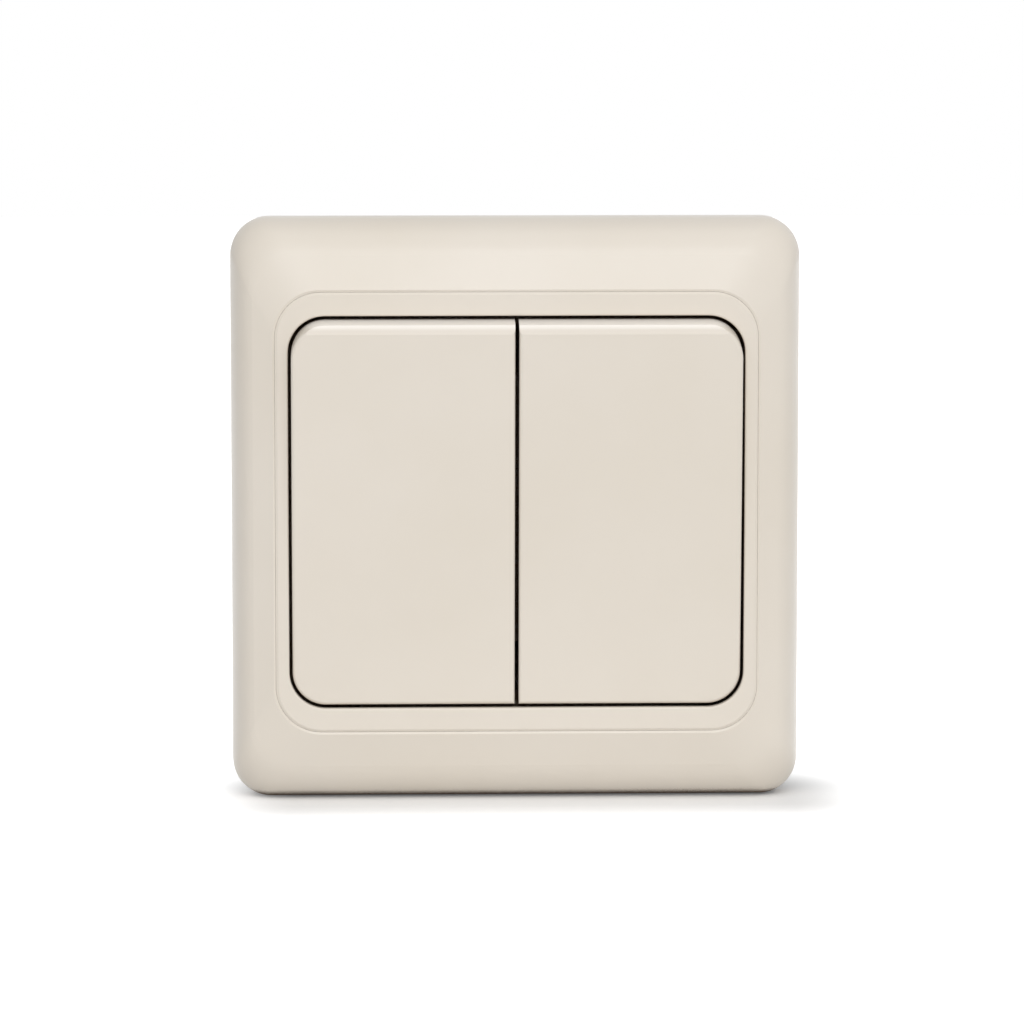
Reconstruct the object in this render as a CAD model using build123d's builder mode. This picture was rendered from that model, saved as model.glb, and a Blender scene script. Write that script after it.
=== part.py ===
from build123d import *
from math import cos, radians, sin, sqrt, tan
import os

os.makedirs("parts", exist_ok=True)

# Two-gang rocker light switch, millimetres. The wall is the plane y = 0, the front faces -Y and
# up is +Z. A "front" is a distance ahead of the wall, a "depth" a distance behind it.

# Cover frame
frame_width = 80.0
frame_height = 82.0
frame_corner = 5.4
frame_skin = 1.9
face_front = 10.5
shoulder_r = 6.9
slope_turn = 15.0
locating_rib_thick = 1.2
locating_rib_front = 3.0
locating_rib_span = 40.0
locating_gap = 0.3

# Seam between the cover frame and the trim ring
seam_width = 67.5
seam_height = 61.8
seam_corner = 6.4
seam_gap = 0.03
groove_depth = 0.22
groove_width = 0.35
groove_spread = 0.5
flange_thick = 1.4
ledge_side = 0.65
ledge_end = 1.65

# Trim ring
opening_width = 63.7
opening_height = 55.1
opening_corner = 5.1
opening_fillet = 0.3
ring_relief = 0.5
ring_skirt_front = 4.5
ring_skirt_gap = 0.15
ring_lip = 1.6
ring_lip_thick = 0.8
leg_x = 9.0
leg_width = 5.0
leg_thick = 1.2
leg_hook = 0.7
leg_lead_in = 0.2
leg_tail = 1.5
leg_shelf = 1.2
leg_flex_room = 0.7
leg_gap = 0.1

# Rockers
cap_side_gap = 0.43
cap_end_gap = 0.6
cap_middle_gap = 0.55
cap_outer_corner = 4.7
cap_inner_corner = 0.65
cap_face_reach = 5.7
cap_skirt_reach = 1.2
cap_sections = 4
cap_skin = 1.9
cap_wall = 1.2
cap_fillet = 0.5
cap_bevel = 1.1
cap_bevel_turn = 30.0
cap_rib = 0.8
cap_rib_height = 1.4
cap_rib_z = (12.5, 19.5)
cap_rib_from_middle = 24.0
tilt = 4.0
pivot_front = 6.0

# Support plate
plate_side_margin = 2.6
plate_end_margin = 3.6
plate_corner = 8.0
plate_thick = 1.2
box_screw_spacing = 60.0
box_slot_length = 6.0
box_slot_width = 4.0
window_margin = 1.0
window_height = 16.0
window_corner = 1.0

# Mechanism cover and its bearings
cover_inset = 1.0
cover_chamfer = 4.0
cover_thick = 2.6
spigot_gap = 0.15
ear_thick = 2.0
ear_r = 2.4
ear_foot = 8.0
bay_width = 12.0
bay_height = 12.0
pin_r = 1.5
pin_gap = 0.04

# Assembly screws
screw_side_inset = 5.0
screw_end_inset = 4.5
screw_r = 1.1
screw_head_r = 2.1
screw_head_thick = 1.5
screw_head_room = 0.3
screw_depth = 8.0
screw_head_edge = 0.4
screw_tip = 0.4
screw_recess = 2.4
boss_end = 0.5
thread_gap = 0.05
hole_gap = 0.2

# Cradles, springs and plungers
cradle_gap = 0.2
cradle_hub_r = 2.5
cradle_web = 6.4
pin_length = 1.8
platform_height = 17.0
platform_thick = 2.0
sleeve_wall = 1.2
sleeve_reach = 10.5
bore_top_reach = 1.5
clip_width = 5.0
clip_thick = 1.2
clip_hook = 0.6
clip_tail = 0.6
clip_gap = 0.1
plunger_r = 1.5
plunger_gap = 0.1
plunger_top_reach = 9.0
tip_reach = 14.9
peg_r = 0.7
peg_length = 1.5
spring_r = 1.15
spring_wire_r = 0.18
spring_turns = 6
spring_end_gap = 0.02

# Contact arms and contacts
arm_width = 5.0
arm_length = 20.0
arm_thick = 0.8
arm_corner = 1.0
arm_swing = 7.5
arm_lift = 0.1
tip_gap = 0.05
knife_r = 0.25
knife_gap = 0.05
knife_width = 3.4
knife_flank = 40.0
lug_thick = 0.6
lug_half_height = 1.2
lug_drop = 1.4
lug_gap = 0.15
contact_z = 8.3
contact_r = 1.5
contact_rim = 0.3
contact_thick = 0.8
contact_gap = 0.05
rivet_r = 0.8
rivet_head_r = 1.2
rivet_head_thick = 0.3

# Housing
housing_width = 42.0
housing_height = 40.0
housing_depth = 23.0
housing_chamfer = 6.0
housing_wall = 1.8
housing_edge = 0.6
barrier_thick = 1.6
boss_r = 2.6
post_width = 4.0
post_height = 3.0

# Terminals
strip_thick = 0.8
strip_gap = 0.1
pocket_middle_wall = 2.4
pocket_wall = 1.2
pocket_side_gap = 0.5
pocket_depth = 6.6
pocket_front_depth = 11.5
strip_neck = 8.0
strip_floor_width = 25.0
strip_floor_height = 6.0
contact_strip_width = 5.0
contact_strip_over = 1.8
tab_width = 9.0
tab_start_depth = 12.3
tab_end_depth = 20.0
terminal_depth = 15.0
terminal_screw_r = 1.45
terminal_head_r = 2.6
terminal_head_thick = 2.0
terminal_slot = 0.8
terminal_tail = 2.0
clamp_width = 9.0
clamp_length = 6.4
clamp_thick = 1.2
clamp_chamfer = 0.8
wire_gap = 1.4

# Claws
claw_stand_off = 1.1
claw_axis_depth = 4.2
claw_thick = 1.2
claw_width = 9.0
claw_back_depth = 17.0
claw_lip = 2.5
claw_arm_end = 5.1
claw_bend_r = 1.5
claw_fork_gap = 3.8
claw_fork_depth = 9.5
claw_slot_length = 3.8
claw_slot_width = 3.1
claw_slot_shift = 0.1
claw_teeth = 4
claw_tooth_pitch = 2.4
claw_tooth_depth = 1.3
claw_tooth_turn = 45.0
trunnion_r = 0.9
trunnion_gap = 0.05
trunnion_length = 2.2
claw_lug_gap = 0.3
claw_lug_thick = 2.0
claw_lug_r = 1.9
claw_lever = 2.1
claw_screw_r = 1.45
claw_screw_head_r = 2.6
claw_screw_head_thick = 2.0
claw_screw_depth = 8.5
claw_screw_gap = 0.05
recess_length = 3.2
recess_width = 0.7
recess_depth = 0.9

# Values worked out from the sizes above
hands = {"left": -1, "right": 1}
flange_back = face_front - flange_thick
plate_width = frame_width - 2 * (frame_skin + plate_side_margin)
plate_height = frame_height - 2 * (frame_skin + plate_end_margin)
gang_x = (housing_width / 2 - housing_wall + barrier_thick / 2) / 2
window_width = 2 * (gang_x + bay_width / 2 + window_margin)
cover_width = housing_width - 2 * cover_inset
cover_height = housing_height - 2 * cover_inset
screw_x = housing_width / 2 - screw_side_inset
screw_z = housing_height / 2 - screw_end_inset
claw_axis_x = housing_width / 2 + claw_stand_off
claw_screw_x = claw_axis_x + claw_lever
pocket_floor_z = housing_height / 2 - pocket_depth
pocket_outer_x = housing_width / 2 - housing_chamfer + housing_wall / 2 - pocket_side_gap
pocket_width = pocket_outer_x - pocket_wall - pocket_middle_wall / 2
terminal_x = (pocket_width + pocket_middle_wall) / 2
leg_inner_z = opening_height / 2 - ring_lip
chamber_chamfer = housing_chamfer - housing_wall * (2 - sqrt(2))
ledge_width = seam_width - 2 * ledge_side
ledge_height = seam_height - 2 * ledge_end
ledge_corner = seam_corner - ledge_side
cap_width = (opening_width - cap_middle_gap) / 2 - cap_side_gap
cap_x = (cap_middle_gap + cap_width) / 2
cap_inside_reach = cap_face_reach - cap_skin
end_r = sqrt((opening_height / 2 - cap_end_gap) ** 2 + (face_front - pivot_front) ** 2)
cap_face_top = sqrt(end_r**2 - cap_face_reach**2)
cover_front = plate_thick + cover_thick
cradle_width = bay_width - 2 * cradle_gap
ear_x = (bay_width + ear_thick) / 2
platform_reach = cap_inside_reach - platform_thick
bore_r = plunger_r + plunger_gap
sleeve_r = bore_r + sleeve_wall
arm_axis_depth = tip_reach - pivot_front + tip_gap + arm_thick + arm_lift
cavity_depth = housing_depth - housing_wall
strip_front_depth = cavity_depth - strip_thick
pocket_back_depth = strip_front_depth - strip_gap
tab_outer_z = pocket_floor_z + strip_thick
clamp_z = tab_outer_z + wire_gap
terminal_head_z = clamp_z + clamp_thick
dome_r = (contact_r**2 + (contact_thick - contact_rim) ** 2) / (2 * (contact_thick - contact_rim))
dome_centre = contact_thick - dome_r - arm_lift
closed_depth = (
    arm_axis_depth + dome_centre * cos(radians(arm_swing)) + contact_z * sin(radians(arm_swing)) + dome_r
)
fixed_face_depth = closed_depth + contact_gap
fixed_strip_depth = fixed_face_depth + contact_rim
claw_lug_z = claw_width / 2 + claw_lug_gap
leg_outer_z = leg_inner_z + leg_thick


def hinge_plane(front, turn):
    """Plane on an axis along X this far ahead of the wall, facing forward and turned about it."""
    angle = radians(turn)
    return Plane(origin=(0, -front, 0), x_dir=(1, 0, 0), z_dir=(0, -cos(angle), -sin(angle)))


def side_of(base, x):
    """Side view of a plane at this X: local x runs forward and local y runs up."""
    return Plane(origin=base.from_local_coords((x, 0, 0)), x_dir=base.z_dir, z_dir=-base.x_dir)


def bezel_section(turn, skin):
    """Front distance and X and Z insets of the shoulder where its normal is turned this far."""
    sweep = 1 - sin(radians(slope_turn))
    slope = tan(radians(slope_turn))
    run_x = (frame_width - seam_width) / 2
    run_z = (frame_height - seam_height) / 2
    slope_rise = (run_z - shoulder_r * sweep) * slope
    rim = face_front - slope_rise - shoulder_r * cos(radians(slope_turn))
    spread_x = shoulder_r * slope * run_x / (slope_rise + shoulder_r * slope * sweep)
    front = rim + (shoulder_r - skin) * cos(radians(turn))
    inset_x = skin + (spread_x - skin) * (1 - sin(radians(turn)))
    inset_z = skin + (shoulder_r - skin) * (1 - sin(radians(turn)))
    corner = frame_corner + (seam_corner - frame_corner) * (inset_z - skin) / run_z - skin
    return front, inset_x, inset_z, corner


terminals = ((0, 1), (terminal_x, -1), (-terminal_x, -1))
wall_plane = hinge_plane(0, 0)
rocker_plane = hinge_plane(pivot_front, tilt)
arm_plane = hinge_plane(-arm_axis_depth, -arm_swing)
shoulder_turns = (90, 75, 60, 45, 30, slope_turn)

# Cover frame: a lofted shoulder and a flat slope up to the seam, hollow behind
with BuildPart() as cover_frame:
    with BuildSketch(Plane.XZ):
        RectangleRounded(frame_width, frame_height, frame_corner)
    extrude(amount=bezel_section(90, 0)[0])
    for turn in shoulder_turns:
        front, inset_x, inset_z, corner = bezel_section(turn, 0)
        with BuildSketch(Plane.XZ.offset(front)):
            RectangleRounded(frame_width - 2 * inset_x, frame_height - 2 * inset_z, corner)
    loft()
    with BuildSketch(Plane.XZ.offset(front)):
        RectangleRounded(frame_width - 2 * inset_x, frame_height - 2 * inset_z, corner)
    with BuildSketch(Plane.XZ.offset(face_front)):
        RectangleRounded(seam_width, seam_height, seam_corner)
    loft(ruled=True)
    with BuildSketch(Plane.XZ):
        RectangleRounded(
            frame_width - 2 * frame_skin, frame_height - 2 * frame_skin, frame_corner - frame_skin
        )
    extrude(amount=bezel_section(90, 0)[0], mode=Mode.SUBTRACT)
    for turn in shoulder_turns:
        front, inset_x, inset_z, corner = bezel_section(turn, frame_skin)
        with BuildSketch(Plane.XZ.offset(front)):
            RectangleRounded(frame_width - 2 * inset_x, frame_height - 2 * inset_z, corner)
    loft(mode=Mode.SUBTRACT)
    with BuildSketch(Plane.XZ.offset(flange_back)):
        RectangleRounded(seam_width, seam_height, seam_corner)
    extrude(amount=flange_thick, mode=Mode.SUBTRACT)
    for front, spread in ((face_front - groove_depth, 0), (face_front, groove_spread)):
        with BuildSketch(Plane.XZ.offset(front)):
            RectangleRounded(seam_width + 2 * spread, seam_height + 2 * spread, seam_corner + spread)
    loft(mode=Mode.SUBTRACT)
    with BuildSketch(Plane.XZ):
        RectangleRounded(ledge_width, ledge_height, ledge_corner)
    extrude(amount=flange_back, mode=Mode.SUBTRACT)
    rib_side = (frame_width - frame_skin) / 2
    rib_side_inner = plate_width / 2 + locating_gap
    rib_end = (frame_height - frame_skin) / 2
    rib_end_inner = plate_height / 2 + locating_gap
    with BuildSketch(Plane.XZ.offset(locating_gap)):
        with GridLocations(rib_side + rib_side_inner, locating_rib_span, 2, 2):
            Rectangle(rib_side - rib_side_inner, locating_rib_thick)
        with GridLocations(locating_rib_span, rib_end + rib_end_inner, 2, 2):
            Rectangle(locating_rib_thick, rib_end - rib_end_inner)
    extrude(amount=locating_rib_front - locating_gap)
cover_frame.part.label = "cover_frame"
export_step(cover_frame.part, "parts/cover_frame.step")

# Trim ring: a flange in the frame's rebate, a skirt with an inward lip, and four snap legs that
# catch behind the plate
with BuildPart() as trim_ring:
    with BuildSketch(Plane.XZ.offset(flange_back)):
        RectangleRounded(
            seam_width - 2 * seam_gap, seam_height - 2 * seam_gap, seam_corner - seam_gap
        )
        RectangleRounded(opening_width, opening_height, opening_corner, mode=Mode.SUBTRACT)
    extrude(amount=flange_thick)
    ring_face = trim_ring.faces().sort_by(Axis.Y)[0]
    chamfer(ring_face.outer_wire().edges(), groove_width, groove_depth, reference=ring_face)
    ring_face = trim_ring.faces().sort_by(Axis.Y)[0]
    fillet(ring_face.inner_wires()[0].edges(), opening_fillet)
    skirt_outer_x = ledge_width / 2 - ring_skirt_gap
    skirt_outer_z = ledge_height / 2 - ring_skirt_gap
    skirt_corner = ledge_corner - ring_skirt_gap
    with BuildSketch(Plane.XZ.offset(ring_skirt_front)):
        RectangleRounded(2 * skirt_outer_x, 2 * skirt_outer_z, skirt_corner)
        RectangleRounded(
            opening_width, opening_height + 2 * ring_relief, opening_corner, mode=Mode.SUBTRACT
        )
    extrude(amount=flange_back - ring_skirt_front)
    with BuildSketch(Plane.XZ.offset(ring_skirt_front)):
        RectangleRounded(2 * skirt_outer_x, 2 * skirt_outer_z, skirt_corner)
        RectangleRounded(
            opening_width - 2 * ring_lip, 2 * leg_inner_z, opening_corner - ring_lip, mode=Mode.SUBTRACT
        )
    extrude(amount=-ring_lip_thick)
    skirt_inner_z = opening_height / 2 + ring_relief
    for end in (1, -1):
        for hand in (1, -1):
            with BuildSketch(side_of(wall_plane, hand * leg_x)):
                with BuildLine():
                    Polyline(
                        (ring_skirt_front + leg_shelf / 2, end * skirt_outer_z),
                        (ring_skirt_front - leg_shelf, end * skirt_outer_z),
                        (ring_skirt_front - leg_shelf, end * leg_outer_z),
                        (-leg_gap - leg_tail, end * leg_outer_z),
                        (-leg_gap - leg_tail, end * (leg_inner_z + leg_lead_in)),
                        (-leg_gap - leg_tail / 2, end * (leg_inner_z - leg_hook)),
                        (-leg_gap, end * (leg_inner_z - leg_hook)),
                        (-leg_gap, end * leg_inner_z),
                        (ring_skirt_front, end * leg_inner_z),
                        (ring_skirt_front, end * skirt_inner_z),
                        (ring_skirt_front + leg_shelf / 2, end * skirt_inner_z),
                        close=True,
                    )
                make_face()
            extrude(amount=leg_width / 2, both=True)
trim_ring.part.label = "trim_ring"
export_step(trim_ring.part, "parts/trim_ring.step")

# Rockers: hollow caps whose end walls are arcs about the pivot, bevelled along the top, ribbed, with
# clips for the cradle
for name, hand in hands.items():
    with BuildPart() as rocker:
        for step in range(cap_sections):
            reach = cap_skirt_reach + (cap_face_reach - cap_skirt_reach) * step / (cap_sections - 1)
            with BuildSketch(rocker_plane.offset(reach)) as outline:
                with Locations((hand * cap_x, 0)):
                    Rectangle(cap_width, 2 * sqrt(end_r**2 - reach**2))
                across = outline.vertices().sort_by(Axis.X, reverse=hand > 0)
                fillet(across[:2], cap_outer_corner)
                fillet(across[2:], cap_inner_corner)
        loft()
        forward = Axis(rocker_plane.origin, rocker_plane.z_dir)
        fillet(rocker.faces().sort_by(forward)[-1].edges(), cap_fillet)
        with BuildSketch(side_of(rocker_plane, hand * cap_x)):
            with BuildLine():
                Polyline(
                    (cap_face_reach, cap_face_top - cap_bevel),
                    (cap_face_reach, cap_face_top + cap_bevel),
                    (cap_face_reach - 2 * cap_bevel * tan(radians(cap_bevel_turn)), cap_face_top + cap_bevel),
                    close=True,
                )
            make_face()
        extrude(amount=cap_width, both=True, mode=Mode.SUBTRACT)
        cap_inner_half = sqrt(end_r**2 - cap_inside_reach**2) - cap_wall
        with BuildSketch(rocker_plane.offset(cap_skirt_reach)) as inside:
            with Locations((hand * cap_x, 0)):
                Rectangle(cap_width - 2 * cap_wall, 2 * cap_inner_half)
            across = inside.vertices().sort_by(Axis.X, reverse=hand > 0)
            fillet(across[:2], cap_outer_corner - cap_wall)
        extrude(amount=cap_inside_reach - cap_skirt_reach, mode=Mode.SUBTRACT)
        with BuildSketch(rocker_plane.offset(cap_inside_reach - cap_rib_height)):
            for rib_z in cap_rib_z:
                with Locations((hand * cap_x, rib_z), (hand * cap_x, -rib_z)):
                    Rectangle(cap_width - cap_wall, cap_rib)
            with Locations((hand * cap_rib_from_middle, 0)):
                Rectangle(cap_rib, 2 * cap_inner_half + cap_wall)
        extrude(amount=cap_rib_height + cap_skin / 2)
        clip_z = platform_height / 2 + clip_gap
        clip_reach = platform_reach - clip_gap
        with BuildSketch(side_of(rocker_plane, hand * gang_x)):
            for end in (1, -1):
                with BuildLine():
                    Polyline(
                        (cap_inside_reach + cap_skin / 2, end * clip_z),
                        (cap_inside_reach + cap_skin / 2, end * (clip_z + clip_thick)),
                        (clip_reach - clip_tail, end * (clip_z + clip_thick)),
                        (clip_reach - clip_tail, end * clip_z),
                        (clip_reach, end * (clip_z - clip_hook)),
                        (clip_reach, end * clip_z),
                        close=True,
                    )
                make_face()
        extrude(amount=clip_width / 2, both=True)
    rocker.part.label = f"rocker_{name}"
    export_step(rocker.part, f"parts/rocker_{name}.step")

# Support plate: a punched and plated steel plate with slots for the wall box's screws
with BuildPart() as support_plate:
    with BuildSketch(Plane.XZ):
        RectangleRounded(plate_width, plate_height, plate_corner)
        RectangleRounded(window_width, window_height, window_corner, mode=Mode.SUBTRACT)
        with GridLocations(box_screw_spacing, 0, 2, 1):
            SlotOverall(box_slot_length, box_slot_width, mode=Mode.SUBTRACT)
        with GridLocations(2 * claw_screw_x, 0, 2, 1):
            Circle(claw_screw_r + hole_gap, mode=Mode.SUBTRACT)
        with GridLocations(2 * screw_x, 2 * screw_z, 2, 2):
            Circle(screw_r + hole_gap, mode=Mode.SUBTRACT)
        with GridLocations(2 * leg_x, 2 * leg_inner_z + leg_thick + leg_flex_room, 2, 2):
            Rectangle(
                leg_width + 2 * hole_gap, leg_thick + leg_flex_room + 2 * hole_gap, mode=Mode.SUBTRACT
            )
    extrude(amount=plate_thick)
support_plate.part.label = "support_plate"
export_step(support_plate.part, "parts/support_plate.step")

# Mechanism cover: clamps the plate to the housing and carries the rocker pins in four ears
with BuildPart() as mechanism_cover:
    with BuildSketch(Plane.XZ.offset(plate_thick)) as outline:
        Rectangle(cover_width, cover_height)
        chamfer(outline.vertices(), cover_chamfer)
    extrude(amount=cover_thick)
    with BuildSketch(Plane.XZ):
        RectangleRounded(
            window_width - 2 * spigot_gap, window_height - 2 * spigot_gap, window_corner
        )
    extrude(amount=plate_thick)
    with BuildSketch(Plane.XZ):
        with GridLocations(2 * gang_x, 0, 2, 1):
            Rectangle(bay_width, bay_height)
    extrude(amount=cover_front, mode=Mode.SUBTRACT)
    for hand in (1, -1):
        for ear in (1, -1):
            with BuildSketch(side_of(wall_plane, hand * gang_x + ear * ear_x)):
                with Locations((pivot_front, 0)):
                    Circle(ear_r)
                with Locations((cover_front - cover_thick / 4, 0)):
                    Rectangle(cover_thick / 2, ear_foot)
                make_hull()
                with Locations((pivot_front, 0)):
                    Circle(pin_r + pin_gap, mode=Mode.SUBTRACT)
            extrude(amount=ear_thick / 2, both=True)
    with Locations(Plane.XZ.offset(cover_front)):
        with GridLocations(2 * screw_x, 2 * screw_z, 2, 2):
            CounterBoreHole(
                radius=screw_r + hole_gap,
                counter_bore_radius=screw_head_r + screw_head_room,
                counter_bore_depth=screw_head_thick + hole_gap,
                depth=cover_thick,
            )
mechanism_cover.part.label = "mechanism_cover"
export_step(mechanism_cover.part, "parts/mechanism_cover.step")

# Housing: two chambers behind the plate, three wire pockets and the lugs for the claws
with BuildPart() as housing:
    with BuildSketch(Plane.XZ) as outline:
        Rectangle(housing_width, housing_height)
        chamfer(outline.vertices(), housing_chamfer)
    extrude(amount=-housing_depth)
    fillet(housing.edges().group_by(Axis.Y)[-1], housing_edge)
    with BuildSketch(Plane.XZ) as chambers:
        Rectangle(housing_width - 2 * housing_wall, housing_height - 2 * housing_wall)
        chamfer(chambers.vertices(), chamber_chamfer)
        Rectangle(barrier_thick, housing_height, mode=Mode.SUBTRACT)
        with GridLocations(2 * screw_x, 2 * screw_z, 2, 2):
            Circle(boss_r, mode=Mode.SUBTRACT)
    extrude(amount=-cavity_depth, mode=Mode.SUBTRACT)
    for pocket_x, end in terminals:
        block_inner_z = pocket_floor_z - pocket_wall
        block_outer_z = (housing_height - housing_wall) / 2
        with BuildSketch(Plane.XZ.offset(-pocket_front_depth + pocket_wall)):
            with Locations((pocket_x, end * (block_inner_z + block_outer_z) / 2)):
                Rectangle(pocket_width + 2 * pocket_wall, block_outer_z - block_inner_z)
        extrude(amount=-(cavity_depth + housing_wall / 2 - pocket_front_depth + pocket_wall))
        with BuildSketch(Plane.XZ.offset(-pocket_front_depth)):
            with Locations((pocket_x, end * (pocket_floor_z + housing_height) / 2)):
                Rectangle(pocket_width, housing_height - pocket_floor_z)
        extrude(amount=-(housing_depth - pocket_front_depth), mode=Mode.SUBTRACT)
        with BuildSketch(Plane.XY.offset(end * (pocket_floor_z - pocket_wall / 2))):
            with Locations((pocket_x, terminal_depth)):
                Circle(terminal_screw_r + hole_gap)
        extrude(amount=pocket_wall, both=True, mode=Mode.SUBTRACT)
    with BuildSketch(Plane.XZ.offset(-pocket_back_depth)):
        with Locations((0, (pocket_floor_z - strip_floor_height / 2) / 2)):
            Rectangle(
                strip_neck + 2 * strip_gap, pocket_floor_z + strip_floor_height / 2 + 2 * strip_gap
            )
    extrude(amount=-(cavity_depth - pocket_back_depth), mode=Mode.SUBTRACT)
    for hand in (1, -1):
        slot_front = fixed_strip_depth - strip_gap
        with BuildSketch(Plane.XZ.offset(-slot_front)):
            with Locations((hand * gang_x, -pocket_floor_z + pocket_wall / 2)):
                Rectangle(contact_strip_width + 2 * strip_gap, pocket_wall + 2 * strip_gap)
        extrude(amount=-(strip_thick + 2 * strip_gap), mode=Mode.SUBTRACT)
        with BuildSketch(Plane.XZ.offset(-fixed_strip_depth - strip_thick)):
            with Locations((hand * gang_x, -contact_z)):
                Rectangle(post_width, post_height)
        extrude(amount=-(cavity_depth + housing_wall / 2 - fixed_strip_depth - strip_thick))
        stop_top = contact_z + post_height / 2
        stop_depth = arm_axis_depth + stop_top * tan(radians(arm_swing)) + contact_gap
        with BuildSketch(Plane.XZ.offset(-stop_depth)):
            with Locations((hand * gang_x, contact_z)):
                Rectangle(post_width, post_height)
        extrude(amount=-(cavity_depth + housing_wall / 2 - stop_depth))
        lug_root_x = (housing_width - housing_wall) / 2
        for end in (1, -1):
            with BuildSketch(Plane.XY.offset(end * (claw_lug_z + claw_lug_thick / 2))):
                with Locations((hand * claw_axis_x, claw_axis_depth)):
                    Circle(claw_lug_r)
                with Locations((hand * (claw_axis_x + lug_root_x) / 2, claw_axis_depth)):
                    Rectangle(claw_axis_x - lug_root_x, 2 * claw_lug_r)
                with Locations((hand * claw_axis_x, claw_axis_depth)):
                    Circle(trunnion_r + trunnion_gap, mode=Mode.SUBTRACT)
            extrude(amount=claw_lug_thick / 2, both=True)
    with Locations(Plane.XZ):
        with GridLocations(2 * screw_x, 2 * screw_z, 2, 2):
            Hole(screw_r + thread_gap, screw_depth + boss_end)
housing.part.label = "housing"
export_step(housing.part, "parts/housing.step")

# Assembly screws: four cross-recessed screws through the cover and plate into the housing
with BuildPart() as assembly_screws:
    screw_seat = cover_front - screw_head_thick - hole_gap
    with BuildSketch(Plane.XZ.offset(screw_seat)):
        with GridLocations(2 * screw_x, 2 * screw_z, 2, 2):
            Circle(screw_head_r)
    extrude(amount=screw_head_thick)
    fillet(assembly_screws.edges().group_by(Axis.Y)[0], screw_head_edge)
    with BuildSketch(Plane.XZ.offset(screw_seat)):
        with GridLocations(2 * screw_x, 2 * screw_z, 2, 2):
            Circle(screw_r)
    extrude(amount=-(screw_seat + screw_depth))
    chamfer(assembly_screws.edges().group_by(Axis.Y)[-1], screw_tip)
    with BuildSketch(Plane.XZ.offset(screw_seat + screw_head_thick - recess_depth)):
        with GridLocations(2 * screw_x, 2 * screw_z, 2, 2):
            Rectangle(screw_recess, recess_width)
            Rectangle(recess_width, screw_recess)
    extrude(amount=recess_depth, mode=Mode.SUBTRACT)
assembly_screws.part.label = "assembly_screws"
export_step(assembly_screws.part, "parts/assembly_screws.step")

# Cradles: the moving half of each gang, with two pins, a seat for the cap and a plunger sleeve
for name, hand in hands.items():
    with BuildPart() as cradle:
        with BuildSketch(side_of(rocker_plane, hand * gang_x)):
            Circle(cradle_hub_r)
            with Locations((platform_reach / 2, 0)):
                Rectangle(platform_reach, 2 * cradle_hub_r)
            with Locations(((platform_reach + cap_inside_reach) / 2, 0)):
                Rectangle(platform_thick, platform_height)
        extrude(amount=cradle_width / 2, both=True)
        with BuildSketch(side_of(rocker_plane, hand * gang_x)):
            with BuildLine():
                Polyline(
                    (0, cradle_hub_r),
                    (platform_reach, platform_height / 2 - clip_hook),
                    (platform_reach, -platform_height / 2 + clip_hook),
                    (0, -cradle_hub_r),
                    close=True,
                )
            make_face()
        extrude(amount=cradle_web / 2, both=True)
        with BuildSketch(side_of(rocker_plane, hand * gang_x)):
            Circle(pin_r)
        extrude(amount=cradle_width / 2 + pin_length, both=True)
        with BuildSketch(rocker_plane):
            with Locations((hand * gang_x, 0)):
                Circle(sleeve_r)
        extrude(amount=-sleeve_reach)
        with BuildSketch(rocker_plane.offset(-bore_top_reach)):
            with Locations((hand * gang_x, 0)):
                Circle(bore_r)
        extrude(amount=-(sleeve_reach - bore_top_reach), mode=Mode.SUBTRACT)
    cradle.part.label = f"cradle_{name}"
    export_step(cradle.part, f"parts/cradle_{name}.step")

    with BuildPart() as plunger:
        with BuildSketch(rocker_plane.offset(-plunger_top_reach)):
            with Locations((hand * gang_x, 0)):
                Circle(plunger_r)
        extrude(amount=-(tip_reach - plunger_r - plunger_top_reach))
        with BuildSketch(rocker_plane.offset(-plunger_top_reach)):
            with Locations((hand * gang_x, 0)):
                Circle(peg_r)
        extrude(amount=peg_length)
        with Locations(rocker_plane.from_local_coords((hand * gang_x, 0, -tip_reach + plunger_r))):
            Sphere(plunger_r)
    plunger.part.label = f"plunger_{name}"
    export_step(plunger.part, f"parts/plunger_{name}.step")

    spring_height = plunger_top_reach - bore_top_reach - 2 * spring_wire_r - 2 * spring_end_gap
    spring_start = -plunger_top_reach + spring_wire_r + spring_end_gap
    with BuildPart() as spring:
        with BuildLine() as coil:
            Helix(
                pitch=spring_height / spring_turns,
                height=spring_height,
                radius=spring_r,
                center=rocker_plane.from_local_coords((hand * gang_x, 0, spring_start)),
                direction=rocker_plane.z_dir,
            )
        with BuildSketch(coil.line ^ 0):
            Circle(spring_wire_r)
        sweep()
    spring.part.label = f"spring_{name}"
    export_step(spring.part, f"parts/spring_{name}.step")

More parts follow.
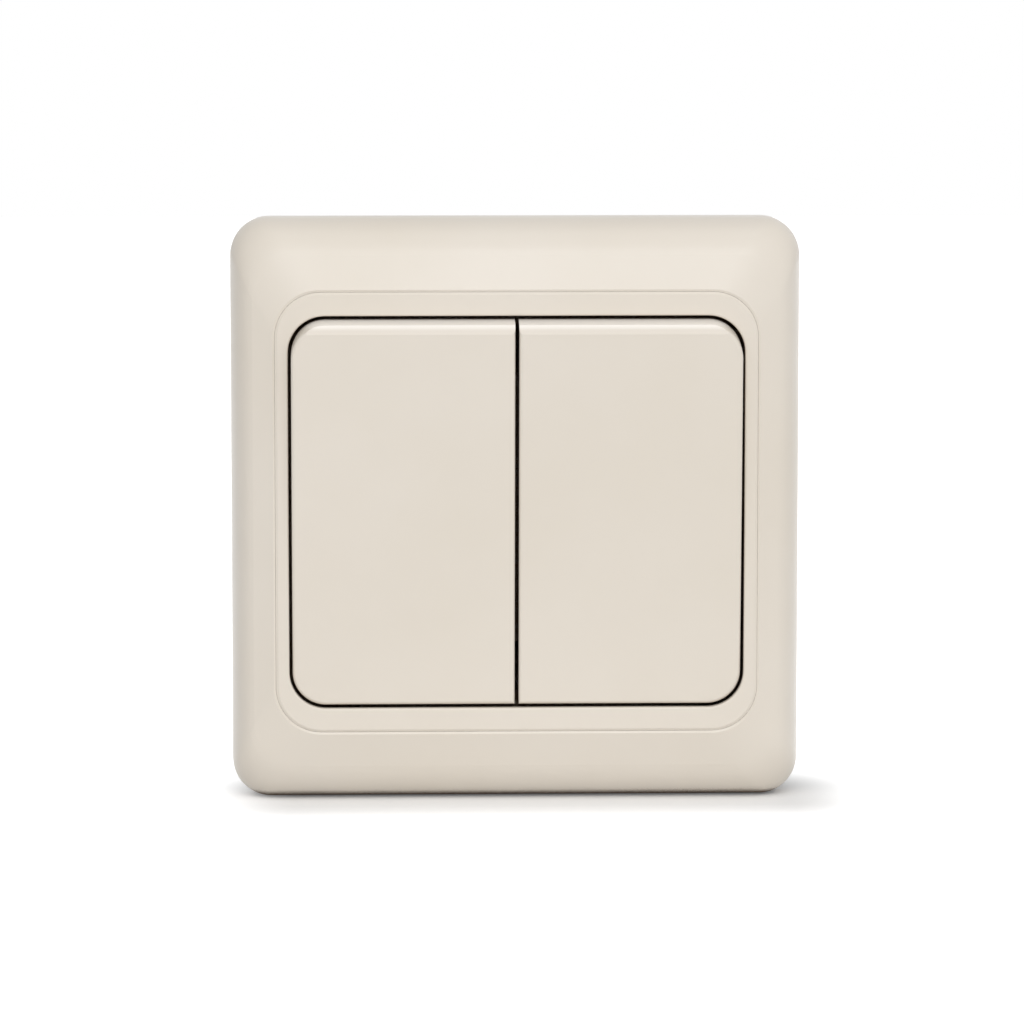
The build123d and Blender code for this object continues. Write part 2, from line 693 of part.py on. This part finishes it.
# Contact arms: copper seesaws on a knife edge, each with a silver contact at its lower end
for name, hand in hands.items():
    with BuildPart() as contact_arm:
        with BuildSketch(arm_plane.offset(arm_lift)):
            with Locations((hand * gang_x, 0)):
                RectangleRounded(arm_width, arm_length, arm_corner)
            with Locations((hand * gang_x, -contact_z)):
                Circle(rivet_r, mode=Mode.SUBTRACT)
        extrude(amount=arm_thick)
        lug_x = knife_width / 2 + lug_gap + lug_thick / 2
        with BuildSketch(arm_plane.offset(arm_lift)):
            with Locations((hand * gang_x - lug_x, 0), (hand * gang_x + lug_x, 0)):
                Rectangle(lug_thick, 2 * lug_half_height)
        extrude(amount=-lug_drop)
        with BuildSketch(side_of(arm_plane, hand * gang_x)):
            Circle(knife_r + knife_gap)
        extrude(amount=knife_width / 2 + lug_gap, both=True, mode=Mode.SUBTRACT)
    contact_arm.part.label = f"contact_arm_{name}"
    export_step(contact_arm.part, f"parts/contact_arm_{name}.step")

    rivet_origin = arm_plane.from_local_coords((hand * gang_x, -contact_z, arm_lift))
    with BuildPart() as moving_contact:
        with BuildSketch(Plane(rivet_origin, x_dir=arm_plane.z_dir, z_dir=arm_plane.x_dir)):
            with BuildLine():
                Polyline((0, 0), (arm_thick, 0))
                Polyline((arm_thick, 0), (arm_thick + rivet_head_thick, 0),
                         (arm_thick + rivet_head_thick, rivet_head_r), (arm_thick, rivet_head_r),
                         (arm_thick, rivet_r), (0, rivet_r), (0, contact_r), (-contact_rim, contact_r))
                RadiusArc((-contact_rim, contact_r), (-contact_thick, 0), -dome_r)
                Line((-contact_thick, 0), (0, 0))
            make_face()
        revolve(axis=Axis(rivet_origin, arm_plane.z_dir))
    moving_contact.part.label = f"moving_contact_{name}"
    export_step(moving_contact.part, f"parts/moving_contact_{name}.step")

    with BuildPart() as output_strip:
        strip_top_z = -contact_z + contact_strip_over
        with BuildSketch(Plane.XZ.offset(-fixed_strip_depth)):
            with Locations((hand * gang_x, (strip_top_z - tab_outer_z) / 2)):
                Rectangle(contact_strip_width, strip_top_z + tab_outer_z)
            with Locations((hand * gang_x, -contact_z)):
                Circle(rivet_r, mode=Mode.SUBTRACT)
        extrude(amount=-strip_thick)
        tab_middle = (fixed_strip_depth + tab_end_depth) / 2
        with BuildSketch(Plane.XY.offset(-tab_outer_z)):
            with Locations((hand * terminal_x, tab_middle + strip_thick / 2)):
                Rectangle(tab_width, tab_end_depth - fixed_strip_depth - strip_thick)
            with Locations((hand * gang_x, fixed_strip_depth + strip_thick)):
                Rectangle(contact_strip_width, 2 * strip_thick)
            with Locations((hand * terminal_x, terminal_depth)):
                Circle(terminal_screw_r + thread_gap, mode=Mode.SUBTRACT)
        extrude(amount=strip_thick)
    output_strip.part.label = f"output_strip_{name}"
    export_step(output_strip.part, f"parts/output_strip_{name}.step")

# Common strip: feeds both knife edges from the upper terminal
with BuildPart() as common_strip:
    with BuildSketch(Plane.XZ.offset(-strip_front_depth)):
        Rectangle(strip_floor_width, strip_floor_height)
        with Locations((0, (tab_outer_z + strip_floor_height / 2) / 2 - strip_floor_height / 4)):
            Rectangle(strip_neck, tab_outer_z + strip_floor_height / 2)
    extrude(amount=-strip_thick)
    with BuildSketch(Plane.XY.offset(pocket_floor_z)):
        with Locations((0, (tab_start_depth + strip_front_depth) / 2)):
            Rectangle(tab_width, strip_front_depth - tab_start_depth)
        with Locations((0, (tab_start_depth + cavity_depth) / 2)):
            Rectangle(strip_neck, cavity_depth - tab_start_depth)
        with Locations((0, terminal_depth)):
            Circle(terminal_screw_r + thread_gap, mode=Mode.SUBTRACT)
    extrude(amount=strip_thick)
    shoulder_depth = knife_r + strip_thick / 2 / tan(radians(knife_flank))
    for hand in (1, -1):
        with BuildSketch(side_of(hinge_plane(-arm_axis_depth, 0), hand * gang_x)):
            Circle(knife_r)
            with BuildLine():
                Polyline(
                    (knife_r * sin(radians(knife_flank)), knife_r * cos(radians(knife_flank))),
                    (-shoulder_depth, strip_thick / 2),
                    (arm_axis_depth - strip_front_depth, strip_thick / 2),
                    (arm_axis_depth - strip_front_depth, -strip_thick / 2),
                    (-shoulder_depth, -strip_thick / 2),
                    (knife_r * sin(radians(knife_flank)), -knife_r * cos(radians(knife_flank))),
                    close=True,
                )
            make_face()
        extrude(amount=knife_width / 2, both=True)
common_strip.part.label = "common_strip"
export_step(common_strip.part, "parts/common_strip.step")

# Fixed contacts: two silver rivets, one in each output strip
with BuildPart() as fixed_contacts:
    with BuildSketch(Plane.XZ.offset(-fixed_strip_depth)):
        with Locations((gang_x, -contact_z), (-gang_x, -contact_z)):
            Circle(contact_r)
    extrude(amount=contact_rim)
    with BuildSketch(Plane.XZ.offset(-fixed_strip_depth)):
        with Locations((gang_x, -contact_z), (-gang_x, -contact_z)):
            Circle(rivet_r)
    extrude(amount=-strip_thick)
fixed_contacts.part.label = "fixed_contacts"
export_step(fixed_contacts.part, "parts/fixed_contacts.step")

# Clamp plates and terminal screws: one pair at each of the three wire pockets
with BuildPart() as clamp_plates:
    for pocket_x, end in terminals:
        with BuildSketch(Plane.XY.offset(end * clamp_z)) as outline:
            with Locations((pocket_x, terminal_depth)):
                Rectangle(clamp_width, clamp_length)
            chamfer(outline.vertices(), clamp_chamfer)
            with Locations((pocket_x, terminal_depth)):
                Circle(terminal_screw_r + hole_gap, mode=Mode.SUBTRACT)
        extrude(amount=end * clamp_thick)
clamp_plates.part.label = "clamp_plates"
export_step(clamp_plates.part, "parts/clamp_plates.step")

with BuildPart() as terminal_screws:
    for pocket_x, end in terminals:
        with BuildSketch(Plane.XY.offset(end * terminal_head_z)):
            with Locations((pocket_x, terminal_depth)):
                Circle(terminal_head_r)
        extrude(amount=end * terminal_head_thick)
        with BuildSketch(Plane.XY.offset(end * (tab_outer_z - terminal_tail))):
            with Locations((pocket_x, terminal_depth)):
                Circle(terminal_screw_r)
        extrude(amount=end * (terminal_head_z - tab_outer_z + terminal_tail))
        with BuildSketch(Plane.XY.offset(end * (terminal_head_z + terminal_head_thick - recess_depth))):
            with Locations((pocket_x, terminal_depth)):
                Rectangle(2 * terminal_head_r, terminal_slot)
        extrude(amount=end * recess_depth, mode=Mode.SUBTRACT)
terminal_screws.part.label = "terminal_screws"
export_step(terminal_screws.part, "parts/terminal_screws.step")

# Claws: bent steel levers that spread against the wall box when their screws draw them up
for name, hand in hands.items():
    with BuildPart() as claw:
        claw_plane = Plane(origin=(hand * claw_axis_x, claw_axis_depth, 0), x_dir=(hand, 0, 0),
                           z_dir=(0, 0, hand))
        back = claw_back_depth - claw_axis_depth
        half = claw_thick / 2
        with BuildSketch(claw_plane) as bent_strip:
            with BuildLine():
                Polyline(
                    (-half, -half),
                    (claw_arm_end, -half),
                    (claw_arm_end, half),
                    (half, half),
                    (half, back - claw_thick),
                    (claw_lip, back - claw_thick),
                    (claw_lip, back),
                    (-half, back),
                    close=True,
                )
            make_face()
            near_bend = bent_strip.vertices().sort_by_distance((-half, -half, 0))[0]
            fillet(near_bend, claw_thick)
            far_bend = bent_strip.vertices().sort_by_distance((-half, back, 0))[0]
            fillet(far_bend, claw_bend_r)
        extrude(amount=claw_width / 2, both=True)
        with BuildSketch(claw_plane):
            Circle(trunnion_r)
        extrude(amount=claw_width / 2 + trunnion_length, both=True)
        with BuildSketch(Plane.YZ.offset(hand * claw_axis_x)):
            with Locations(((claw_axis_depth + half + claw_fork_depth) / 2, 0)):
                Rectangle(claw_fork_depth - claw_axis_depth - half, claw_fork_gap)
        extrude(amount=claw_thick, both=True, mode=Mode.SUBTRACT)
        with BuildSketch(Plane.XZ.offset(-claw_axis_depth)):
            with Locations((hand * (claw_screw_x + claw_slot_shift), 0)):
                SlotOverall(claw_slot_length, claw_slot_width)
        extrude(amount=claw_thick, both=True, mode=Mode.SUBTRACT)
        with BuildSketch(Plane.XZ.offset(-claw_back_depth)):
            with Locations((hand * (claw_axis_x + claw_lip), 0)):
                with GridLocations(0, claw_tooth_pitch, 1, claw_teeth):
                    Rectangle(claw_tooth_depth, claw_tooth_depth, rotation=claw_tooth_turn)
        extrude(amount=claw_thick, mode=Mode.SUBTRACT)
    claw.part.label = f"claw_{name}"
    export_step(claw.part, f"parts/claw_{name}.step")

    with BuildPart() as claw_screw:
        head_seat = plate_thick + claw_screw_gap
        with BuildSketch(Plane.XZ.offset(head_seat)):
            with Locations((hand * claw_screw_x, 0)):
                Circle(claw_screw_head_r)
        extrude(amount=claw_screw_head_thick)
        fillet(claw_screw.edges().group_by(Axis.Y)[0], screw_head_edge)
        with BuildSketch(Plane.XZ.offset(head_seat)):
            with Locations((hand * claw_screw_x, 0)):
                Circle(claw_screw_r)
        extrude(amount=-(head_seat + claw_screw_depth))
        chamfer(claw_screw.edges().group_by(Axis.Y)[-1], screw_tip)
        with BuildSketch(Plane.XZ.offset(head_seat + claw_screw_head_thick - recess_depth)):
            with Locations((hand * claw_screw_x, 0)):
                Rectangle(recess_length, recess_width)
                Rectangle(recess_width, recess_length)
        extrude(amount=recess_depth, mode=Mode.SUBTRACT)
    claw_screw.part.label = f"claw_screw_{name}"
    export_step(claw_screw.part, f"parts/claw_screw_{name}.step")
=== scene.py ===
import math

import bpy
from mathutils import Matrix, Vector


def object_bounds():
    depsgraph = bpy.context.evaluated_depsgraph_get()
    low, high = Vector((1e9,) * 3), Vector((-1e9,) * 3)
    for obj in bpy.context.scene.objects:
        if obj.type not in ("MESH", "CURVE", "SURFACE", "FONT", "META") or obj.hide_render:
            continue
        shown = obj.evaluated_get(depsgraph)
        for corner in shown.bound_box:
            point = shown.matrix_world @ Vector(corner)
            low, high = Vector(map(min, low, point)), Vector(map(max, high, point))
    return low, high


# Metres, in the part's own frame: the wall is y = 0, the front faces -Y and up is +Z.
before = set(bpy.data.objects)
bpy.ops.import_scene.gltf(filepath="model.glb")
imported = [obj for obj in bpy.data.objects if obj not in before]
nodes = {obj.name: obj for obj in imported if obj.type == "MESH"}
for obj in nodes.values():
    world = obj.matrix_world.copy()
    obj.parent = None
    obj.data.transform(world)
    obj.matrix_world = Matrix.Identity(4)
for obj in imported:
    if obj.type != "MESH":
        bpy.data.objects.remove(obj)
cad_low, cad_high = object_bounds()
MM = 0.001

# Camera, matched to the photograph
CAMERA_ELEVATION = 6.37
CAMERA_AZIMUTH = -1.8
CAMERA_DISTANCE = 0.730
CAMERA_LENS = 182.3
SENSOR_WIDTH = 36.0
CLIP_START = 0.01
CLIP_END = 20
AIM_X = -0.5 * MM
AIM_Y = -5.0 * MM
AIM_Z = -0.5 * MM

# Painted shade in narrow gaps: how far it looks for a wall, and the openness where the shade is full
# and where it ends. It looks less far on the cover frame, which stands on the floor.
CREVICE_REACH = 25.0 * MM
FRAME_CREVICE_REACH = 3.0 * MM
CREVICE_CLOSED = 0.08
CREVICE_OPEN = 0.24
CREVICE_ROUGHNESS = 1.0
CREVICE_SAMPLES = 8

# Noise: the part of its range that is spread out, and its detail in clouds and in the fine grain
NOISE_LOW = 0.3
NOISE_HIGH = 0.7
CLOUD_DETAIL = 3
GRAIN_DETAIL = 4

# Painted highlight along the rockers' upper rim, as heights above the middle of the part
RIM_START = 25.6 * MM
RIM_FULL = 26.4 * MM

# Floor, and the shadow on it: the rendered shadow shows in full in a middle part, and a painted glow
# fades it out over SHADOW_FAR to the front and back, and SHADOW_SIDE_FADE times as fast to the sides
FLOOR_SIZE = 3.0
FLOOR_COLOUR = (0.85, 0.85, 0.85)
FLOOR_ROUGHNESS = 0.9
FLOOR_GLOW = 0.1
SHADOW_MIDDLE_Y = -5.0 * MM
SHADOW_HALF_DEPTH = 6.0 * MM
SHADOW_NEAR = 0.0
SHADOW_FAR = 26.0 * MM
SHADOW_SIDE_FADE = 1.2
SHADOW_SIDE_INSET = 6.2 * MM
SHADOW_SHIFT_X = 3.5 * MM

# Light: the sky's strength from the front, from above and from the right, and the lamps as
# elevation in degrees and power in watts
SKY_FRONT = 1.07
SKY_UP = 0.31
SKY_RIGHT = 0.35
LAMPS = {"upper": (28, 7.5), "high": (50, 1.8), "overhead": (80, 2.0)}
LAMP_DISTANCE = 2.0
LAMP_SIZE = 1.0

# Colours, as linear red, green and blue
CREAM = (0.775, 0.713, 0.630)
CREAM_SHADE = (0.752, 0.688, 0.598)
# Painted highlight: the paler cream of the rockers' upper rim
PAINTED_RIM_HIGHLIGHT = (0.94, 0.89, 0.82)
# Painted shade: narrow gaps are turned to this dark brown
PAINTED_GAP_SHADE = (0.07, 0.030, 0.006)
HOUSING_GREY = (0.52, 0.51, 0.48)
HOUSING_GREY_SHADE = (0.47, 0.46, 0.43)
CRADLE_BLACK = (0.035, 0.035, 0.037)
CRADLE_BLACK_SHADE = (0.028, 0.028, 0.030)
PLUNGER_WHITE = (0.80, 0.79, 0.75)
PLUNGER_WHITE_SHADE = (0.76, 0.75, 0.70)
ZINC = (0.70, 0.71, 0.72)
ZINC_SHADE = (0.58, 0.60, 0.62)
YELLOW_ZINC = (0.72, 0.64, 0.42)
YELLOW_ZINC_SHADE = (0.66, 0.55, 0.38)
WIRE_STEEL = (0.50, 0.50, 0.51)
WIRE_STEEL_SHADE = (0.42, 0.42, 0.43)
COPPER = (0.83, 0.46, 0.30)
COPPER_SHADE = (0.72, 0.37, 0.24)
SILVER = (0.88, 0.87, 0.84)
SILVER_SHADE = (0.78, 0.77, 0.73)


def linked_noise(tree, scale, detail):
    """A noise texture in the part's own coordinates."""
    place = tree.nodes.new("ShaderNodeTexCoord")
    noise = tree.nodes.new("ShaderNodeTexNoise")
    noise.inputs["Scale"].default_value = scale
    noise.inputs["Detail"].default_value = detail
    tree.links.new(place.outputs["Object"], noise.inputs["Vector"])
    return noise


def spread(tree, source, low, high):
    """Maps a noise output to a range."""
    scale = tree.nodes.new("ShaderNodeMapRange")
    scale.inputs["From Min"].default_value = NOISE_LOW
    scale.inputs["From Max"].default_value = NOISE_HIGH
    scale.inputs["To Min"].default_value = low
    scale.inputs["To Max"].default_value = high
    tree.links.new(source, scale.inputs["Value"])
    return scale.outputs["Result"]


def feed(tree, socket, source):
    """Gives an input socket a value, or links another socket to it."""
    if isinstance(source, bpy.types.NodeSocket):
        tree.links.new(source, socket)
    else:
        socket.default_value = source


def blended(tree, kind, factor, first, second):
    """Mixes two colours or two numbers, each a socket or a value, by a factor socket."""
    mix = tree.nodes.new("ShaderNodeMix")
    mix.data_type = kind
    tree.links.new(factor, mix.inputs["Factor"])
    feed(tree, mix.inputs["A"], first)
    feed(tree, mix.inputs["B"], second)
    return mix.outputs["Result"]


def number_math(tree, operation, *operands):
    """The result of one operation on numbers, each a socket or a value."""
    node = tree.nodes.new("ShaderNodeMath")
    node.operation = operation
    for socket, source in zip(node.inputs, operands):
        feed(tree, socket, source)
    return node.outputs["Value"]


def vector_math(tree, operation, *operands):
    """The result of one operation on vectors, each a socket or a value."""
    node = tree.nodes.new("ShaderNodeVectorMath")
    node.operation = operation
    for socket, source in zip(node.inputs, operands):
        feed(tree, socket, source)
    if operation in ("LENGTH", "DOT_PRODUCT"):
        return node.outputs["Value"]
    return node.outputs["Vector"]


def paint_gap_shade(tree, colour, roughness, reach):
    """Paints shade: dark brown colour and full roughness where walls close in on the surface."""
    occlusion = tree.nodes.new("ShaderNodeAmbientOcclusion")
    occlusion.samples = CREVICE_SAMPLES
    occlusion.inputs["Distance"].default_value = reach
    crevice = tree.nodes.new("ShaderNodeMapRange")
    crevice.interpolation_type = "SMOOTHSTEP"
    crevice.inputs["From Min"].default_value = CREVICE_CLOSED
    crevice.inputs["From Max"].default_value = CREVICE_OPEN
    tree.links.new(occlusion.outputs["AO"], crevice.inputs["Value"])
    openness = crevice.outputs["Result"]
    return (
        blended(tree, "RGBA", openness, (*PAINTED_GAP_SHADE, 1), colour),
        blended(tree, "FLOAT", openness, CREVICE_ROUGHNESS, roughness),
    )


def rim_highlight_mask(tree):
    """0 on a rocker's face and 1 along its upper rim, where a highlight is painted into the colour."""
    place = tree.nodes.new("ShaderNodeTexCoord")
    part = tree.nodes.new("ShaderNodeSeparateXYZ")
    tree.links.new(place.outputs["Object"], part.inputs["Vector"])
    rise = tree.nodes.new("ShaderNodeMapRange")
    rise.interpolation_type = "SMOOTHSTEP"
    rise.inputs["From Min"].default_value = RIM_START
    rise.inputs["From Max"].default_value = RIM_FULL
    tree.links.new(part.outputs["Z"], rise.inputs["Value"])
    return rise.outputs["Result"]


def surface(
    name, colour, shade, roughness, metallic, cloud, grain, grain_depth, rim=False, reach=CREVICE_REACH
):
    """A material with cloudy colour and roughness, a fine grain in its bump, and painted shade in
    narrow gaps.

    cloud and grain are noise scales per metre, grain_depth is in metres, rim adds the painted highlight
    on the rockers' upper rim, and reach is how far the painted gap shade looks."""
    material = bpy.data.materials.new(name)
    material.use_nodes = True
    tree = material.node_tree
    shader = tree.nodes["Principled BSDF"]
    shader.inputs["Metallic"].default_value = metallic
    shader.inputs["Base Color"].default_value = (*colour, 1)
    clouds = linked_noise(tree, cloud, CLOUD_DETAIL).outputs["Fac"]
    tone = blended(tree, "RGBA", spread(tree, clouds, 0.0, 1.0), (*colour, 1), (*shade, 1))
    if rim:
        # Painted highlight: the upper rim turns a paler cream
        tone = blended(tree, "RGBA", rim_highlight_mask(tree), tone, (*PAINTED_RIM_HIGHLIGHT, 1))
    low, high = roughness
    # Painted shade: narrow gaps turn dark brown and fully rough
    tone, gloss = paint_gap_shade(tree, tone, spread(tree, clouds, low, high), reach)
    tree.links.new(tone, shader.inputs["Base Color"])
    tree.links.new(gloss, shader.inputs["Roughness"])
    fine = linked_noise(tree, grain, GRAIN_DETAIL)
    bump = tree.nodes.new("ShaderNodeBump")
    bump.inputs["Distance"].default_value = grain_depth
    bump.inputs["Strength"].default_value = 1.0
    tree.links.new(fine.outputs["Fac"], bump.inputs["Height"])
    tree.links.new(bump.outputs["Normal"], shader.inputs["Normal"])
    return material


def shown_directly(tree):
    """1 for what the camera sees straight, in a mirror or through glass, and 0 for light that falls."""
    path = tree.nodes.new("ShaderNodeLightPath").outputs
    mirrored = number_math(tree, "MAXIMUM", path["Is Camera Ray"], path["Is Glossy Ray"])
    return number_math(tree, "MAXIMUM", mirrored, path["Is Transmission Ray"])


def dress(material, *names):
    """Gives CAD nodes this material."""
    for name in names:
        mesh = nodes[name].data
        mesh.materials.clear()
        mesh.materials.append(material)


cream = {
    "colour": CREAM, "shade": CREAM_SHADE, "roughness": (0.28, 0.34), "metallic": 0,
    "cloud": 40, "grain": 1800, "grain_depth": 1.2e-6,
}
dress(surface("frame_plastic", **cream, reach=FRAME_CREVICE_REACH), "cover_frame")
dress(surface("ring_plastic", **cream), "trim_ring")
# The rockers get the painted highlight on their upper rim
dress(surface("rocker_plastic", **cream, rim=True), "rocker_left", "rocker_right")
dress(
    surface(
        "grey_plastic", HOUSING_GREY, HOUSING_GREY_SHADE,
        roughness=(0.5, 0.6), metallic=0, cloud=90, grain=2500, grain_depth=4e-6,
    ),
    "housing", "mechanism_cover",
)
dress(
    surface(
        "black_plastic", CRADLE_BLACK, CRADLE_BLACK_SHADE,
        roughness=(0.4, 0.5), metallic=0, cloud=90, grain=2500, grain_depth=3e-6,
    ),
    "cradle_left", "cradle_right",
)
dress(
    surface(
        "white_plastic", PLUNGER_WHITE, PLUNGER_WHITE_SHADE,
        roughness=(0.3, 0.4), metallic=0, cloud=200, grain=3000, grain_depth=1e-6,
    ),
    "plunger_left", "plunger_right",
)
dress(
    surface(
        "plated_steel", ZINC, ZINC_SHADE,
        roughness=(0.28, 0.46), metallic=1, cloud=260, grain=1500, grain_depth=4e-6,
    ),
    "support_plate", "clamp_plates", "claw_left", "claw_right",
)
dress(
    surface(
        "plated_screw", YELLOW_ZINC, YELLOW_ZINC_SHADE,
        roughness=(0.25, 0.4), metallic=1, cloud=400, grain=3000, grain_depth=2e-6,
    ),
    "assembly_screws", "terminal_screws", "claw_screw_left", "claw_screw_right",
)
dress(
    surface(
        "spring_steel", WIRE_STEEL, WIRE_STEEL_SHADE,
        roughness=(0.25, 0.35), metallic=1, cloud=400, grain=3000, grain_depth=1e-6,
    ),
    "spring_left", "spring_right",
)
dress(
    surface(
        "copper", COPPER, COPPER_SHADE,
        roughness=(0.28, 0.42), metallic=1, cloud=260, grain=2500, grain_depth=2e-6,
    ),
    "contact_arm_left", "contact_arm_right", "common_strip", "output_strip_left", "output_strip_right",
)
dress(
    surface(
        "silver", SILVER, SILVER_SHADE,
        roughness=(0.3, 0.4), metallic=1, cloud=400, grain=3000, grain_depth=1e-6,
    ),
    "moving_contact_left", "moving_contact_right", "fixed_contacts",
)

# Floor: white to the camera, with its glow painted lower round the object, where the rendered shadow
# shows
floor_z = cad_low.z
bpy.ops.mesh.primitive_plane_add(size=FLOOR_SIZE, location=(0, 0, floor_z))
floor = bpy.context.object
floor.name = "floor"
floor_material = bpy.data.materials.new("floor_white")
floor_material.use_nodes = True
tree = floor_material.node_tree
floor_shader = tree.nodes["Principled BSDF"]
floor_shader.inputs["Base Color"].default_value = (*FLOOR_COLOUR, 1)
floor_shader.inputs["Roughness"].default_value = FLOOR_ROUGHNESS
floor_shader.inputs["Specular IOR Level"].default_value = 0.0
# Painted shadow: the glow is least in a box round the object and rises outside it
place = tree.nodes.new("ShaderNodeTexCoord").outputs["Object"]
from_middle = vector_math(tree, "SUBTRACT", place, (SHADOW_SHIFT_X, SHADOW_MIDDLE_Y, 0))
one_side = vector_math(tree, "ABSOLUTE", from_middle)
full_shade = (cad_high.x - SHADOW_SIDE_INSET, SHADOW_HALF_DEPTH, 0)
past_edge = vector_math(tree, "SUBTRACT", one_side, full_shade)
outside = vector_math(tree, "MAXIMUM", past_edge, (0, 0, 0))
stretched = vector_math(tree, "MULTIPLY", outside, (SHADOW_SIDE_FADE, 1, 1))
past_shade = vector_math(tree, "LENGTH", stretched)
fade = tree.nodes.new("ShaderNodeMapRange")
fade.interpolation_type = "SMOOTHSTEP"
fade.inputs["From Min"].default_value = SHADOW_NEAR
fade.inputs["From Max"].default_value = SHADOW_FAR
fade.inputs["To Min"].default_value = FLOOR_GLOW
fade.inputs["To Max"].default_value = 1.0
tree.links.new(past_shade, fade.inputs["Value"])
white = tree.nodes.new("ShaderNodeEmission")
white.inputs["Color"].default_value = (1, 1, 1, 1)
brightness = number_math(tree, "MULTIPLY", shown_directly(tree), fade.outputs["Result"])
tree.links.new(brightness, white.inputs["Strength"])
both = tree.nodes.new("ShaderNodeAddShader")
tree.links.new(floor_shader.outputs[0], both.inputs[0])
tree.links.new(white.outputs[0], both.inputs[1])
tree.links.new(both.outputs[0], tree.nodes["Material Output"].inputs["Surface"])
floor.data.materials.append(floor_material)

# World: soft light from three sides, and white to the camera
world = bpy.data.worlds.new("studio")
bpy.context.scene.world = world
world.use_nodes = True
sky = world.node_tree
back = sky.nodes["Background"]
back.inputs["Color"].default_value = (1, 1, 1, 1)
towards = sky.nodes.new("ShaderNodeTexCoord").outputs["Generated"]
total = 0.0
for axis, strength in (((0, -1, 0), SKY_FRONT), ((0, 0, 1), SKY_UP), ((1, 0, 0), SKY_RIGHT)):
    ahead = number_math(sky, "MAXIMUM", vector_math(sky, "DOT_PRODUCT", towards, axis), 0.0)
    total = number_math(sky, "MULTIPLY_ADD", ahead, strength, total)
sky.links.new(total, back.inputs["Strength"])
seen = sky.nodes.new("ShaderNodeBackground")
seen.inputs["Color"].default_value = (1, 1, 1, 1)
seen.inputs["Strength"].default_value = 1.0
pick = sky.nodes.new("ShaderNodeMixShader")
sky.links.new(shown_directly(sky), pick.inputs[0])
sky.links.new(back.outputs[0], pick.inputs[1])
sky.links.new(seen.outputs[0], pick.inputs[2])
sky.links.new(pick.outputs[0], sky.nodes["World Output"].inputs["Surface"])


def direction(azimuth, elevation):
    """Unit vector from the object towards this azimuth and elevation, in degrees."""
    turn, rise = math.radians(azimuth), math.radians(elevation)
    return Vector((math.sin(turn) * math.cos(rise), -math.cos(turn) * math.cos(rise), math.sin(rise)))


def softbox(name, elevation, power):
    """A square area light before the object, facing it."""
    lamp = bpy.data.lights.new(name, "AREA")
    lamp.shape = "SQUARE"
    lamp.size = LAMP_SIZE
    lamp.energy = power
    holder = bpy.data.objects.new(name, lamp)
    holder.location = direction(0, elevation) * LAMP_DISTANCE
    holder.rotation_euler = (-holder.location).to_track_quat("-Z", "Y").to_euler()
    bpy.context.scene.collection.objects.link(holder)


for lamp_name, elevation_and_power in LAMPS.items():
    softbox(lamp_name, *elevation_and_power)

# Camera
towards_camera = direction(CAMERA_AZIMUTH, CAMERA_ELEVATION)
lens = bpy.data.cameras.new("camera")
lens.lens = CAMERA_LENS
lens.sensor_width = SENSOR_WIDTH
lens.clip_start = CLIP_START
lens.clip_end = CLIP_END
camera = bpy.data.objects.new("camera", lens)
camera.location = Vector((AIM_X, AIM_Y, AIM_Z)) + towards_camera * CAMERA_DISTANCE
camera.rotation_euler = (-towards_camera).to_track_quat("-Z", "Y").to_euler()
bpy.context.scene.collection.objects.link(camera)
bpy.context.scene.camera = camera
bpy.context.scene.view_settings.view_transform = "Standard"
